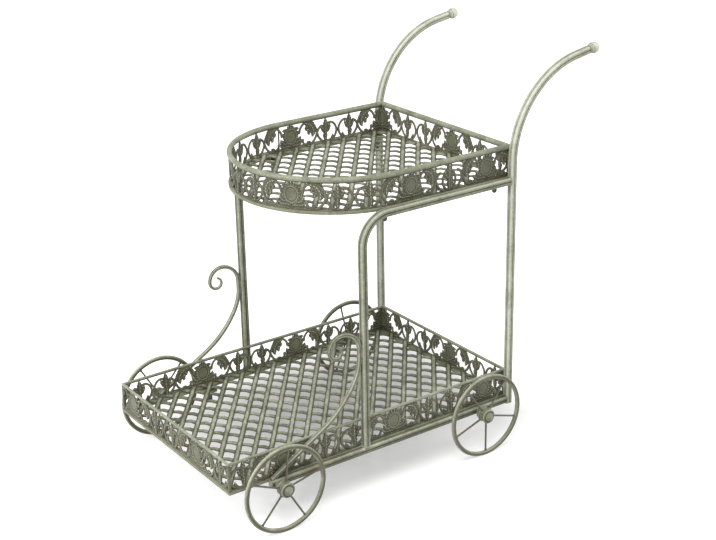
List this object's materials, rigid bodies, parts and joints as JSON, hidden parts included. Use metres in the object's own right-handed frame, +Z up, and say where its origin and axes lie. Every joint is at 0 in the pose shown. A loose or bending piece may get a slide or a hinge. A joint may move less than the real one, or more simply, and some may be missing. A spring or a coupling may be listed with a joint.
{
  "type": "serving cart",
  "caption": "Serving cart with a rectangular lower tray and a round-fronted upper tray of pressed openwork and woven strip, between fluted tube frames on spoked wheels.",
  "frame": {"origin": "on the floor, under the middle of the cart's length and width", "axes": "+X along the cart towards the handles, +Y across it, +Z up"},
  "size_m": [0.9306, 0.554, 0.8589],
  "materials": {
    "side_frames": "satin sage paint over fluted tube, cream dry-brushed on its edges",
    "pressed_panels": "satin sage paint, cream on the relief and olive in its hollows",
    "floor_strips": "satin pale sage paint",
    "rims": "satin cream and sage paint",
    "tray_frames": "satin sage paint",
    "wheels": "satin pale sage paint, brown wear on the rims",
    "axle_fittings": "satin sage paint",
    "fixings": "dark bolts and nuts"
  },
  "bodies": {
    "frame": {"rear_post_near": "side_frames", "rear_post_far": "side_frames", "front_post_near": "side_frames", "front_post_far": "side_frames", "side_rail_near": "side_frames", "side_rail_far": "side_frames", "handle_knob_near": "side_frames", "handle_knob_far": "side_frames", "scroll_brace_near": "side_frames", "scroll_brace_far": "side_frames", "tube_caps": "side_frames", "axle_plates": "side_frames", "axle_studs": "axle_fittings", "axle_spacers": "axle_fittings", "axle_washers": "axle_fittings", "axle_nuts": "axle_fittings", "lower_bottom_frame": "tray_frames", "lower_edge_bar": "rims", "lower_corner_bars": "tray_frames", "lower_gallery_near": "pressed_panels", "lower_gallery_far": "pressed_panels", "lower_gallery_front": "pressed_panels", "lower_gallery_rear": "pressed_panels", "lower_weave_a": "floor_strips", "lower_weave_b": "floor_strips", "lower_tabs": "tray_frames", "lower_lugs": "tray_frames", "lower_bolts": "fixings", "lower_cap_nuts": "fixings", "upper_bottom_frame": "tray_frames", "upper_rim": "rims", "upper_rear_rim": "rims", "upper_corner_bars": "tray_frames", "upper_gallery_near": "pressed_panels", "upper_gallery_far": "pressed_panels", "upper_gallery_bow": "pressed_panels", "upper_gallery_rear": "pressed_panels", "upper_weave_a": "floor_strips", "upper_weave_b": "floor_strips", "upper_tabs": "tray_frames", "upper_lugs": "tray_frames", "upper_bolts": "fixings", "upper_cap_nuts": "fixings"},
    "wheel_front_near": {"front_near_rim": "wheels", "front_near_spokes": "wheels", "front_near_hub": "wheels"},
    "wheel_front_far": {"front_far_rim": "wheels", "front_far_spokes": "wheels", "front_far_hub": "wheels"},
    "wheel_rear_near": {"rear_near_rim": "wheels", "rear_near_spokes": "wheels", "rear_near_hub": "wheels"},
    "wheel_rear_far": {"rear_far_rim": "wheels", "rear_far_spokes": "wheels", "rear_far_hub": "wheels"}
  },
  "joints": [
    {"name": "front_near_wheel_spin", "type": "hinge", "parent": "frame", "child": "wheel_front_near", "pos_m": [-0.35825, -0.25825, 0.094], "axis": [0, 1, 0], "continuous": true},
    {"name": "front_far_wheel_spin", "type": "hinge", "parent": "frame", "child": "wheel_front_far", "pos_m": [-0.35825, 0.25825, 0.094], "axis": [0, 1, 0], "continuous": true},
    {"name": "rear_near_wheel_spin", "type": "hinge", "parent": "frame", "child": "wheel_rear_near", "pos_m": [0.15375, -0.25825, 0.094], "axis": [0, 1, 0], "continuous": true},
    {"name": "rear_far_wheel_spin", "type": "hinge", "parent": "frame", "child": "wheel_rear_far", "pos_m": [0.15375, 0.25825, 0.094], "axis": [0, 1, 0], "continuous": true}
  ]
}
